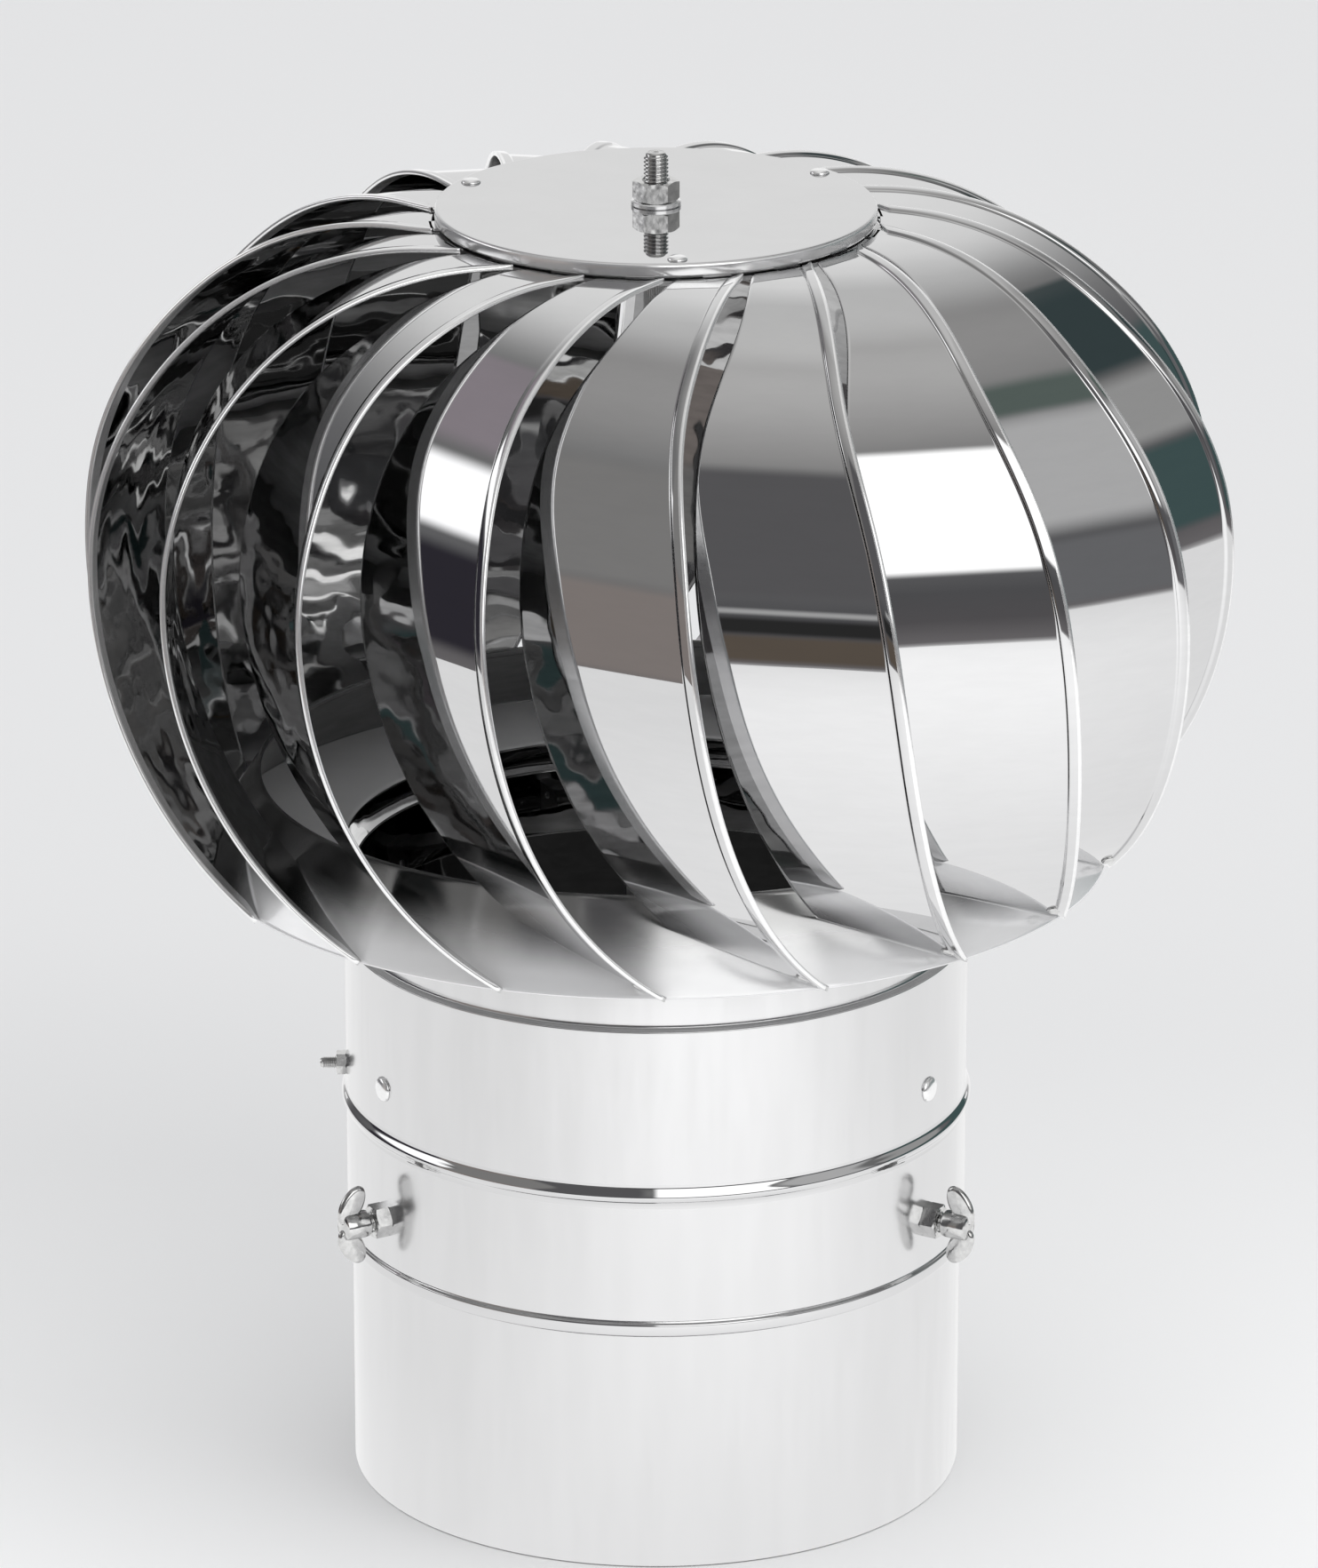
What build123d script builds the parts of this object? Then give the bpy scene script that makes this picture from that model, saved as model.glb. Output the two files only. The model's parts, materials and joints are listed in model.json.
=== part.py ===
"""Rotating chimney cowl: a globe of eighteen pitched vanes that turns on a shaft above a flue collar.

Frame: +Z up, origin at the centre of the flue pipe's lower end, lengths in millimetres.
Bearings around the axis are counted from the front (-Y) towards +X, in degrees.
"""

import os
from math import cos, pi, radians, sin, sqrt

from build123d import *

# Flue pipe and collar
flue_diameter = 200.0
pipe_wall = 0.8
pipe_length = 128.0
neck_start = 80.5
neck_step = 1.2
collar_slip = 0.6
collar_wall = 1.0
collar_bottom = 81.0
collar_top = 184.5
hem_height = 4.2
hem_fold = 1.0
bead_height = 128.5
bead_width = 6.5
bead_rise = 1.5
upstand_step = 3.2
upstand_height = 22.0

# Bearing carrier inside the collar
shaft_diameter = 8.0
running_clearance = 0.05
bush_wall = 4.0
bush_length = 14.0
bush_flange_width = 3.0
bush_flange_thickness = 2.0
housing_wall = 6.0
housing_bottom = 140.0
housing_length = 38.0
arm_count = 3
arm_width = 20.0
arm_thickness = 2.5
arm_top = 164.0
carrier_rivet_height = 146.0
carrier_rivet_diameter = 4.8
carrier_rivet_head = 8.4
carrier_rivet_head_rise = 1.7

# Clamp screws with wings, and the seam screw
clamp_bearing = 60.0
clamp_height = 101.0
clamp_thread = 6.0
clamp_nut_size = 10.0
clamp_nut_height = 5.0
clamp_tip_gap = 0.3
wing_gap = 1.5
wing_hub_length = 9.0
wing_hub_diameter = 9.0
wing_thickness = 2.6
wing_length = 14.0
wing_width = 8.0
wing_lean = 32.0
wing_ear_offset = 5.6
seam_bearing = -88.0
seam_height = 137.5
seam_thread = 4.0
seam_nut_size = 7.0
seam_nut_height = 3.2
seam_tail = 5.5
seam_head_diameter = 7.0
seam_head_height = 2.0
fastener_clearance = 0.05

# Globe of vanes: each is a strip rolled about a level axis, set at a pitch and trimmed to its outline
vane_count = 18
vane_phase = 3.1
vane_pitch_angle = 33.0
vane_sheet = 0.8
vane_hem_width = 4.5
vane_hem_fold = 0.9
roll_height = 326.5
roll_reach = 153.2
skirt_bend = 137.0
body_bend = 90.0
body_turn = 10.0
shoulder_bend = 96.87
roll_turn = 64.0
roll_width = 140.0
trim_depth = 40.0
tab_width = 9.2
tab_bearing = 12.8
tab_inner_radius = 57.0
tab_sag = 0.2
outline_tilt = 18.0
outer_outline = [(48, 395), (61, 384), (80, 342), (94.7, 300), (105, 249), (111, 200), (116, 172), (119, 160)]
inner_outline = [(30, 396), (38, 388), (42, 376), (37, 335), (37, 300), (44.5, 249), (55, 215), (72, 183), (86, 165)]
seat_gap = 0.1

# Skirt ring: the cone that the vanes stand on, open above and below
skirt_wall = 1.0
skirt_rim_radius = 147.0
skirt_rim_height = 212.0
skirt_rise = 28.0
skirt_taper = 17.5
skirt_hem = 3.0
skirt_hem_fold = 0.8

# Top disc and its rings
disc_diameter = 141.0
disc_sheet = 1.0
disc_lip_room = 0.4
disc_room = 0.7
disc_edge_chamfer = 0.7
ring_inner_radius = 53.0
ring_room = 0.3
vane_ring_height = 3.8
clamp_ring_height = 1.5
cap_rivet_count = 3
cap_rivet_radius = 65.0
cap_rivet_diameter = 3.2
cap_rivet_head = 6.4
cap_rivet_head_rise = 1.3

# Shaft fittings
nut_size = 13.0
nut_height = 6.5
washer_diameter = 16.0
washer_thickness = 1.6
stud_tail = 9.0
shaft_tail = 1.5
shaft_collar_diameter = 18.0
shaft_collar_height = 10.0
thrust_washer_thickness = 1.5
axial_play = 0.1
shaft_chamfer = 0.8
grub_diameter = 4.0
grub_sink = 0.5

# Sizes that follow from the ones above
pipe_radius = flue_diameter / 2
neck_radius = pipe_radius - neck_step
collar_inner = pipe_radius + collar_slip
collar_outer = collar_inner + collar_wall
upstand_outer = collar_outer - upstand_step
shaft_radius = shaft_diameter / 2
bush_bore = shaft_radius + running_clearance
bush_outer = bush_bore + bush_wall
housing_outer = bush_outer + housing_wall
housing_top = housing_bottom + housing_length
vane_spacing = 360 / vane_count
body_end_height = roll_height + body_bend * sin(radians(body_turn))
body_end_reach = roll_reach - body_bend * (1 - cos(radians(body_turn)))
shoulder_centre_height = body_end_height - shoulder_bend * sin(radians(body_turn))
shoulder_centre_reach = body_end_reach - shoulder_bend * cos(radians(body_turn))
crown_height = shoulder_centre_height + shoulder_bend
tab_top = crown_height + vane_sheet / 2
tab_under = tab_top - vane_sheet - tab_sag
disc_under = tab_top + vane_ring_height
disc_top = disc_under + disc_sheet
disc_radius = disc_diameter / 2
skirt_top_height = skirt_rim_height + skirt_rise
skirt_top_radius = skirt_rim_radius - skirt_taper


def polar(radius, bearing, height):
    """Point at a radius, a bearing from the front and a height."""
    turn = radians(bearing)
    return Vector(radius * sin(turn), -radius * cos(turn), height)


def radial_plane(bearing, radius, height):
    """Plane square to a radius, facing outwards, with its x axis level."""
    turn = radians(bearing)
    return Plane(origin=polar(radius, bearing, height), x_dir=(cos(turn), sin(turn), 0), z_dir=polar(1, bearing, 0))


def side_plane(bearing):
    """Upright plane through the axis: x outwards along a bearing, y up."""
    turn = radians(bearing)
    return Plane(origin=(0, 0, 0), x_dir=polar(1, bearing, 0), z_dir=(-cos(turn), -sin(turn), 0))


def write(shape, name):
    """Label one finished piece and write its file."""
    shape.label = name
    export_step(shape, f"parts/{name}.step")


os.makedirs("parts", exist_ok=True)

clamp_bearings = [clamp_bearing + index * 360 / arm_count for index in range(arm_count)]
cap_phase = vane_phase + tab_bearing - vane_spacing / 2
cap_bearings = [cap_phase + index * 360 / cap_rivet_count for index in range(cap_rivet_count)]

# Flue pipe: its upper end is necked in, so the clamp screws hold it behind a shoulder
with BuildPart() as spigot_pipe:
    with BuildSketch(Plane.XZ):
        Polygon(
            (pipe_radius - pipe_wall, 0),
            (pipe_radius, 0),
            (pipe_radius, neck_start),
            (neck_radius, neck_start + neck_step),
            (neck_radius, pipe_length),
            (neck_radius - pipe_wall, pipe_length),
            (neck_radius - pipe_wall, neck_start + neck_step),
            (pipe_radius - pipe_wall, neck_start),
            align=None,
        )
    revolve(axis=Axis.Z)
write(spigot_pipe.part, "spigot_pipe")

# Collar: hemmed lower edge, a pressed bead, and a narrower upstand under the skirt
half_bead = bead_width / 2
bead_crest = half_bead / 2
upstand_top = collar_top + upstand_height
with BuildPart() as base_collar:
    with BuildSketch(Plane.XZ):
        Polygon(
            (collar_inner, collar_bottom),
            (collar_outer + hem_fold, collar_bottom),
            (collar_outer + hem_fold, collar_bottom + hem_height),
            (collar_outer, collar_bottom + hem_height),
            (collar_outer, bead_height - half_bead),
            (collar_outer + bead_rise, bead_height - bead_crest),
            (collar_outer + bead_rise, bead_height + bead_crest),
            (collar_outer, bead_height + half_bead),
            (collar_outer, collar_top),
            (upstand_outer, collar_top),
            (upstand_outer, upstand_top),
            (upstand_outer - collar_wall, upstand_top),
            (upstand_outer - collar_wall, collar_top - collar_wall),
            (collar_inner, collar_top - collar_wall),
            (collar_inner, bead_height + half_bead),
            (collar_inner + bead_rise, bead_height + bead_crest),
            (collar_inner + bead_rise, bead_height - bead_crest),
            (collar_inner, bead_height - half_bead),
            align=None,
        )
    revolve(axis=Axis.Z)
    holes = [(bearing, clamp_height, clamp_thread) for bearing in clamp_bearings]
    holes += [(bearing, carrier_rivet_height, carrier_rivet_diameter) for bearing in clamp_bearings]
    holes += [(seam_bearing, seam_height, seam_thread)]
    for bearing, height, diameter in holes:
        with BuildSketch(radial_plane(bearing, collar_outer, height)):
            Circle(diameter / 2 + fastener_clearance)
        extrude(amount=2 * collar_wall, both=True, mode=Mode.SUBTRACT)
write(base_collar.part, "base_collar")

# Bearing housing: a plain tube that takes one flanged bush at each end
with BuildPart() as bearing_housing:
    with BuildSketch(Plane.XY.offset(housing_bottom)):
        Circle(housing_outer)
        Circle(bush_outer, mode=Mode.SUBTRACT)
    extrude(amount=housing_length)
write(bearing_housing.part, "bearing_housing")

# Carrier arms: flat bars from the housing to a foot on the collar, standing on the pipe's upper edge
for index, bearing in enumerate(clamp_bearings, 1):
    with BuildPart() as arm:
        with BuildSketch(side_plane(bearing)):
            with BuildLine():
                Polyline(
                    (0, arm_top),
                    (collar_outer, arm_top),
                    (collar_outer, pipe_length),
                    (collar_inner - arm_thickness, pipe_length),
                    (collar_inner - arm_thickness, arm_top - arm_thickness),
                    (0, arm_top - arm_thickness),
                    close=True,
                )
            make_face()
        extrude(amount=arm_width / 2, both=True)
        Cylinder(collar_inner, 2 * arm_top, mode=Mode.INTERSECT)
        Cylinder(housing_outer, 2 * arm_top, mode=Mode.SUBTRACT)
        with BuildSketch(radial_plane(bearing, collar_inner, carrier_rivet_height)):
            Circle(carrier_rivet_diameter / 2 + fastener_clearance)
        extrude(amount=-2 * arm_thickness, mode=Mode.SUBTRACT)
    write(arm.part, f"carrier_arm_{index}")

# Rivets that hold the carrier's feet to the collar, with a head on each side
with BuildPart() as carrier_rivets:
    for bearing in clamp_bearings:
        with BuildSketch(radial_plane(bearing, collar_outer, carrier_rivet_height)):
            Circle(carrier_rivet_head / 2)
        extrude(amount=carrier_rivet_head_rise)
        with BuildSketch(radial_plane(bearing, collar_inner - arm_thickness, carrier_rivet_height)):
            Circle(carrier_rivet_diameter / 2)
        extrude(amount=collar_wall + arm_thickness)
        with BuildSketch(radial_plane(bearing, collar_inner - arm_thickness, carrier_rivet_height)):
            Circle(carrier_rivet_head / 2)
        extrude(amount=-carrier_rivet_head_rise)
write(carrier_rivets.part, "carrier_rivets")

# Flanged bushes, one from above and one from below
for name, face, way in (("upper_bush", housing_top, 1), ("lower_bush", housing_bottom, -1)):
    with BuildPart() as bush:
        with BuildSketch(Plane.XZ):
            with BuildLine():
                Polyline(
                    (bush_bore, face + way * bush_flange_thickness),
                    (bush_outer + bush_flange_width, face + way * bush_flange_thickness),
                    (bush_outer + bush_flange_width, face),
                    (bush_outer, face),
                    (bush_outer, face - way * bush_length),
                    (bush_bore, face - way * bush_length),
                    close=True,
                )
            make_face()
        revolve(axis=Axis.Z)
    write(bush.part, name)

# Weld nuts on the collar for the clamp screws, cut to the collar's curve
with BuildPart() as clamp_nuts:
    for bearing in clamp_bearings:
        with BuildSketch(radial_plane(bearing, pipe_radius, clamp_height)):
            RegularPolygon(clamp_nut_size / 2, 6, major_radius=False)
            Circle(clamp_thread / 2 + fastener_clearance, mode=Mode.SUBTRACT)
        extrude(amount=collar_outer + clamp_nut_height - pipe_radius)
    Cylinder(collar_outer, 4 * clamp_height, mode=Mode.SUBTRACT)
write(clamp_nuts.part, "clamp_nuts")

# Clamp screws: the tip bears on the pipe, and two ears turn the screw by hand
clamp_tip = neck_radius + clamp_tip_gap
wing_base = collar_outer + clamp_nut_height + wing_gap
for index, bearing in enumerate(clamp_bearings, 1):
    with BuildPart() as wing_screw:
        with BuildSketch(radial_plane(bearing, clamp_tip, clamp_height)):
            Circle(clamp_thread / 2)
        extrude(amount=wing_base - clamp_tip)
        with BuildSketch(radial_plane(bearing, wing_base, clamp_height)):
            Circle(wing_hub_diameter / 2)
        extrude(amount=wing_hub_length)
        with BuildSketch(side_plane(bearing)):
            for side in (1, -1):
                ear = (wing_base + wing_ear_offset, clamp_height + side * wing_length / 2)
                with Locations(Location(ear, side * (90 - wing_lean))):
                    Ellipse(wing_length / 2, wing_width / 2)
        extrude(amount=wing_thickness / 2, both=True)
    write(wing_screw.part, f"wing_screw_{index}")

# Seam screw with its head inside the collar, and its nut outside
seam_seat = sqrt(collar_inner**2 - (seam_head_diameter / 2) ** 2)
with BuildPart() as seam_screw:
    with BuildSketch(radial_plane(seam_bearing, seam_seat, seam_height)):
        Circle(seam_head_diameter / 2)
    extrude(amount=-seam_head_height)
    with BuildSketch(radial_plane(seam_bearing, seam_seat, seam_height)):
        Circle(seam_thread / 2)
    extrude(amount=collar_outer + seam_nut_height + seam_tail - seam_seat)
write(seam_screw.part, "seam_screw")

with BuildPart() as seam_nut:
    with BuildSketch(radial_plane(seam_bearing, collar_outer, seam_height)):
        RegularPolygon(seam_nut_size / 2, 6, major_radius=False)
        Circle(seam_thread / 2 + fastener_clearance, mode=Mode.SUBTRACT)
    extrude(amount=seam_nut_height)
write(seam_nut.part, "seam_nut")

# Skirt ring: a cone of thin sheet with its rim and its upper edge hemmed inwards
skirt_slope = skirt_taper / skirt_rise
hem_shift = skirt_hem * skirt_slope
rim_inner = skirt_rim_radius - skirt_wall
top_inner = skirt_top_radius - skirt_wall
with BuildPart() as skirt_ring:
    with BuildSketch(Plane.XZ):
        Polygon(
            (skirt_rim_radius, skirt_rim_height),
            (skirt_top_radius, skirt_top_height),
            (top_inner - skirt_hem_fold, skirt_top_height),
            (top_inner - skirt_hem_fold + hem_shift, skirt_top_height - skirt_hem),
            (top_inner + hem_shift, skirt_top_height - skirt_hem),
            (rim_inner - hem_shift, skirt_rim_height + skirt_hem),
            (rim_inner - skirt_hem_fold - hem_shift, skirt_rim_height + skirt_hem),
            (rim_inner - skirt_hem_fold, skirt_rim_height),
            align=None,
        )
    revolve(axis=Axis.Z)
write(skirt_ring.part, "skirt_ring")

# Vane: a rolled strip trimmed to its outline, standing on the skirt, with a tab for the top rings
pitch = radians(vane_pitch_angle)
along = Vector(cos(pitch), -sin(pitch), 0)
reach = Vector(-sin(pitch), -cos(pitch), 0)
tilt = radians(outline_tilt)
roll_plane = Plane(origin=(0, 0, 0), x_dir=reach, z_dir=-along)
outline_plane = Plane(origin=(0, 0, 0), x_dir=along, z_dir=reach * cos(tilt) + Vector(0, 0, sin(tilt)))


def rolled_layer(near, far):
    """Rolled sheet between two distances from its middle, before it is trimmed."""
    ends = []
    with BuildPart() as layer:
        with BuildSketch(roll_plane):
            with BuildLine():
                for offset in (near, far):
                    lower = CenterArc((roll_reach - skirt_bend, roll_height), skirt_bend + offset, -roll_turn, roll_turn)
                    CenterArc((roll_reach - body_bend, roll_height), body_bend + offset, 0, body_turn)
                    shoulder_centre = (shoulder_centre_reach, shoulder_centre_height)
                    CenterArc(shoulder_centre, shoulder_bend + offset, body_turn, 90 - body_turn)
                    flat_end = (0, crown_height + offset)
                    Line((shoulder_centre_reach, crown_height + offset), flat_end)
                    ends.append((lower @ 0, flat_end))
                Line(ends[0][0], ends[1][0])
                Line(ends[0][1], ends[1][1])
            make_face()
        extrude(amount=-roll_width)
    return layer.part


half_sheet = vane_sheet / 2
hem_line = [(place - vane_hem_width, level) for place, level in outer_outline]
with BuildPart() as vane_hem:
    add(rolled_layer(half_sheet, half_sheet + vane_hem_fold))
    with BuildSketch(outline_plane):
        with BuildLine():
            hem_edge = Spline(*outer_outline)
            hem_inside = Spline(*hem_line)
            Line(hem_edge @ 0, hem_inside @ 0)
            Line(hem_edge @ 1, hem_inside @ 1)
        make_face()
    extrude(amount=2 * roll_width, both=True, mode=Mode.INTERSECT)
    with BuildSketch(Plane.XY.offset(crown_height)):
        Circle(disc_radius + disc_room)
    extrude(amount=trim_depth, both=True, mode=Mode.SUBTRACT)

with BuildPart() as vane:
    add(rolled_layer(-half_sheet, half_sheet))
    with BuildSketch(outline_plane):
        with BuildLine():
            outer_edge = Spline(*outer_outline)
            inner_edge = Spline(*inner_outline)
            Line(outer_edge @ 0, inner_edge @ 0)
            Line(outer_edge @ 1, inner_edge @ 1)
        make_face()
    extrude(amount=2 * roll_width, both=True, mode=Mode.INTERSECT)
    add(vane_hem.part)
    with BuildSketch(Plane.XZ):
        Polygon(
            (0, skirt_rim_height - trim_depth),
            (2 * skirt_rim_radius, skirt_rim_height - trim_depth),
            (2 * skirt_rim_radius, skirt_rim_height),
            (skirt_rim_radius + seat_gap, skirt_rim_height),
            (skirt_top_radius + seat_gap, skirt_top_height),
            (0, skirt_top_height),
            align=None,
        )
    revolve(axis=Axis.Z, mode=Mode.SUBTRACT)
    with BuildSketch(Plane.XY.offset(crown_height)):
        Circle(disc_radius + disc_room)
        tab_middle = polar(tab_inner_radius + disc_radius / 2, tab_bearing, 0)
        with Locations(Location((tab_middle.X, tab_middle.Y), tab_bearing)):
            Rectangle(tab_width, disc_radius, mode=Mode.SUBTRACT)
    extrude(amount=trim_depth, both=True, mode=Mode.SUBTRACT)
for index in range(vane_count):
    write(vane.part.rotate(Axis.Z, vane_phase + index * vane_spacing), f"vane_{index + 1:02d}")

# Top disc: a flat sheet with its edge turned down
lip_bottom = tab_top + disc_lip_room
with BuildPart() as top_disc:
    with BuildSketch(Plane.XZ):
        Polygon(
            (shaft_radius + fastener_clearance, disc_top),
            (disc_radius, disc_top),
            (disc_radius, lip_bottom),
            (disc_radius - disc_sheet, lip_bottom),
            (disc_radius - disc_sheet, disc_under),
            (shaft_radius + fastener_clearance, disc_under),
            align=None,
        )
    revolve(axis=Axis.Z)
    rim = edges().filter_by(GeomType.CIRCLE).group_by(Axis.Z)[-1].sort_by(SortBy.RADIUS)[-1]
    chamfer(rim, disc_edge_chamfer)
    for bearing in cap_bearings:
        with Locations(polar(cap_rivet_radius, bearing, disc_top)):
            Hole(cap_rivet_diameter / 2 + fastener_clearance, depth=2 * disc_sheet)
write(top_disc.part, "top_disc")

# Rings above and below the vanes' tabs
ring_outer = disc_radius - disc_sheet - ring_room
for name, top, height in (
    ("vane_ring", disc_under, vane_ring_height),
    ("clamp_ring", tab_under, clamp_ring_height),
):
    with BuildPart() as ring:
        with BuildSketch(Plane.XY.offset(top)):
            Circle(ring_outer)
            Circle(ring_inner_radius, mode=Mode.SUBTRACT)
            for bearing in cap_bearings:
                with Locations(polar(cap_rivet_radius, bearing, 0)):
                    Circle(cap_rivet_diameter / 2 + fastener_clearance, mode=Mode.SUBTRACT)
        extrude(amount=-height)
    write(ring.part, name)

# Rivets through the disc and both rings
clamp_under = tab_under - clamp_ring_height
with BuildPart() as cap_rivets:
    for bearing in cap_bearings:
        with BuildSketch(Plane.XY.offset(disc_top)):
            with Locations(polar(cap_rivet_radius, bearing, 0)):
                Circle(cap_rivet_head / 2)
        extrude(amount=cap_rivet_head_rise)
        with BuildSketch(Plane.XY.offset(disc_top)):
            with Locations(polar(cap_rivet_radius, bearing, 0)):
                Circle(cap_rivet_diameter / 2)
        extrude(amount=clamp_under - disc_top)
        with BuildSketch(Plane.XY.offset(clamp_under)):
            with Locations(polar(cap_rivet_radius, bearing, 0)):
                Circle(cap_rivet_head / 2)
        extrude(amount=-cap_rivet_head_rise)
write(cap_rivets.part, "cap_rivets")

# Shaft, from below the lower bush to the stud above the disc
lock_washer_top = housing_bottom - bush_flange_thickness - axial_play
lock_nut_top = lock_washer_top - washer_thickness
shaft_bottom = lock_nut_top - nut_height - shaft_tail
stud_tip = disc_top + washer_thickness + nut_height + stud_tail
with BuildPart() as shaft:
    with BuildSketch(Plane.XY.offset(shaft_bottom)):
        Circle(shaft_radius)
    extrude(amount=stud_tip - shaft_bottom)
    chamfer(edges().filter_by(GeomType.CIRCLE), shaft_chamfer)
write(shaft.part, "shaft")

# Washers on the shaft, each named with its lower face
washer_bottoms = {
    "top_washer": disc_top,
    "under_washer": disc_under - washer_thickness,
    "lock_washer": lock_nut_top,
}
for name, bottom in washer_bottoms.items():
    with BuildPart() as washer:
        with BuildSketch(Plane.XY.offset(bottom)):
            Circle(washer_diameter / 2)
            Circle(shaft_radius + fastener_clearance, mode=Mode.SUBTRACT)
        extrude(amount=washer_thickness)
    write(washer.part, name)

# Nuts on the shaft, each named with its lower face
nut_bottoms = {
    "top_nut": disc_top + washer_thickness,
    "under_nut": disc_under - washer_thickness - nut_height,
    "lock_nut": lock_nut_top - nut_height,
}
for name, bottom in nut_bottoms.items():
    with BuildPart() as nut:
        with BuildSketch(Plane.XY.offset(bottom)):
            RegularPolygon(nut_size / 2, 6, major_radius=False)
            Circle(shaft_radius + fastener_clearance, mode=Mode.SUBTRACT)
        extrude(amount=nut_height)
    write(nut.part, name)

# Shaft collar on a thrust washer, which carries the rotor on the upper bush
thrust_bottom = housing_top + bush_flange_thickness
collar_seat = thrust_bottom + thrust_washer_thickness
grub_height = collar_seat + shaft_collar_height / 2
with BuildPart() as thrust_washer:
    with BuildSketch(Plane.XY.offset(thrust_bottom)):
        Circle(shaft_collar_diameter / 2)
        Circle(shaft_radius + fastener_clearance, mode=Mode.SUBTRACT)
    extrude(amount=thrust_washer_thickness)
write(thrust_washer.part, "thrust_washer")

with BuildPart() as shaft_collar:
    with BuildSketch(Plane.XY.offset(collar_seat)):
        Circle(shaft_collar_diameter / 2)
        Circle(shaft_radius + fastener_clearance, mode=Mode.SUBTRACT)
    extrude(amount=shaft_collar_height)
    with BuildSketch(Plane.YZ):
        with Locations((0, grub_height)):
            Circle(grub_diameter / 2 + fastener_clearance)
    extrude(amount=shaft_collar_diameter, mode=Mode.SUBTRACT)
write(shaft_collar.part, "shaft_collar")

with BuildPart() as grub_screw:
    with BuildSketch(Plane.YZ.offset(shaft_radius)):
        with Locations((0, grub_height)):
            Circle(grub_diameter / 2)
    extrude(amount=shaft_collar_diameter / 2 - shaft_radius - grub_sink)
write(grub_screw.part, "grub_screw")
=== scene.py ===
# %% [markdown]
# # A rotating chimney cowl in mirror steel
# A cowl like this sits on top of a flue. Wind turns its globe of vanes, and the turning globe draws
# smoke up the pipe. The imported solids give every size, so this lesson only dresses them: it builds
# smooth skins where a mirror would show facets, adds threads and rivets, and mixes the metals.

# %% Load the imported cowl
import json
import math

import bpy
import numpy as np
from mathutils import Matrix, Vector


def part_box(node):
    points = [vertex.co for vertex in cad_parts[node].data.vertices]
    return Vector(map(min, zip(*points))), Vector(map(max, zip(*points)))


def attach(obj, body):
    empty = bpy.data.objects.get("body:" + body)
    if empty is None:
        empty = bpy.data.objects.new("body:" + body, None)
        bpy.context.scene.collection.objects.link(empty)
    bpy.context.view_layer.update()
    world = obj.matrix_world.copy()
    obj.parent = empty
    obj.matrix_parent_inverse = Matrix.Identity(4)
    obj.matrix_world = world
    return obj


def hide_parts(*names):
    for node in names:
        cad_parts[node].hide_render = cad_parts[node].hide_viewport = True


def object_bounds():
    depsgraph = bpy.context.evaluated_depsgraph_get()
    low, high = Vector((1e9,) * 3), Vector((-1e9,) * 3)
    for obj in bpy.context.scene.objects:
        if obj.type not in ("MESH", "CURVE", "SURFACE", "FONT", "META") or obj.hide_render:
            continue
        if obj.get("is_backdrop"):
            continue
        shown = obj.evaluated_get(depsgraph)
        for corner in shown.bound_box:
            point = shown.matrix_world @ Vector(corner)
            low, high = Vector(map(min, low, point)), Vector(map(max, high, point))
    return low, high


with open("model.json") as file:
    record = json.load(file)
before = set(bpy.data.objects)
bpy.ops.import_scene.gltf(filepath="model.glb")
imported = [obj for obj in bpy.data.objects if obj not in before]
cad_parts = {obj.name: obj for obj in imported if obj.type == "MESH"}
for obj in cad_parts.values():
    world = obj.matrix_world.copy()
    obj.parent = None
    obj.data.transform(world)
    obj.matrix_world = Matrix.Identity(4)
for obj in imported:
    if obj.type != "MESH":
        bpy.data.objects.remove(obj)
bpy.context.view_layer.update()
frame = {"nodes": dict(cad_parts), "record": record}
nodes = frame["nodes"]
scene = bpy.context.scene
scene.view_settings.view_transform = "Standard"

# %% [markdown]
# ## The camera
# The photograph was taken from about three metres with a long lens, a little above the cowl. A long
# lens keeps the pipe's sides parallel. The camera could be aimed with a constraint, but a fixed place
# and tilt are easier to read and never change.

# %% Camera at the photograph's place
look_down = 18.95
camera_data = bpy.data.cameras.new("camera")
camera_data.sensor_width = 36
camera_data.lens = 212.2
camera_data.clip_end = 60
camera = bpy.data.objects.new("camera", camera_data)
camera.location = (0.00095, -2.8374, 1.2068)
camera.rotation_euler = (math.radians(90 - look_down), 0, 0)
scene.collection.objects.link(camera)
scene.camera = camera
print("camera", tuple(round(v, 3) for v in camera.location), "lens", camera_data.lens)

# %% [markdown]
# ## Writing shaders as sums
# Node trees are easier to follow as arithmetic. The first class below wraps one output socket. Each
# operator adds one Math node, so `1 - mask` reads the way it works. Every other node comes from one
# method of the second class, which sets the node's options first and then its sockets.


# %% A small shader language
class Signal:
    """One node output that takes part in arithmetic."""

    def __init__(self, graph, socket):
        self.graph = graph
        self.socket = socket

    def maths(self, operation, *others):
        return self.graph.maths(operation, self, *others)

    def __add__(self, other):
        return self.graph.maths("ADD", self, other)

    def __radd__(self, other):
        return self.graph.maths("ADD", other, self)

    def __sub__(self, other):
        return self.graph.maths("SUBTRACT", self, other)

    def __rsub__(self, other):
        return self.graph.maths("SUBTRACT", other, self)

    def __mul__(self, other):
        return self.graph.maths("MULTIPLY", self, other)

    def __rmul__(self, other):
        return self.graph.maths("MULTIPLY", other, self)

    def __truediv__(self, other):
        return self.graph.maths("DIVIDE", self, other)

    def __rtruediv__(self, other):
        return self.graph.maths("DIVIDE", other, self)


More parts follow.
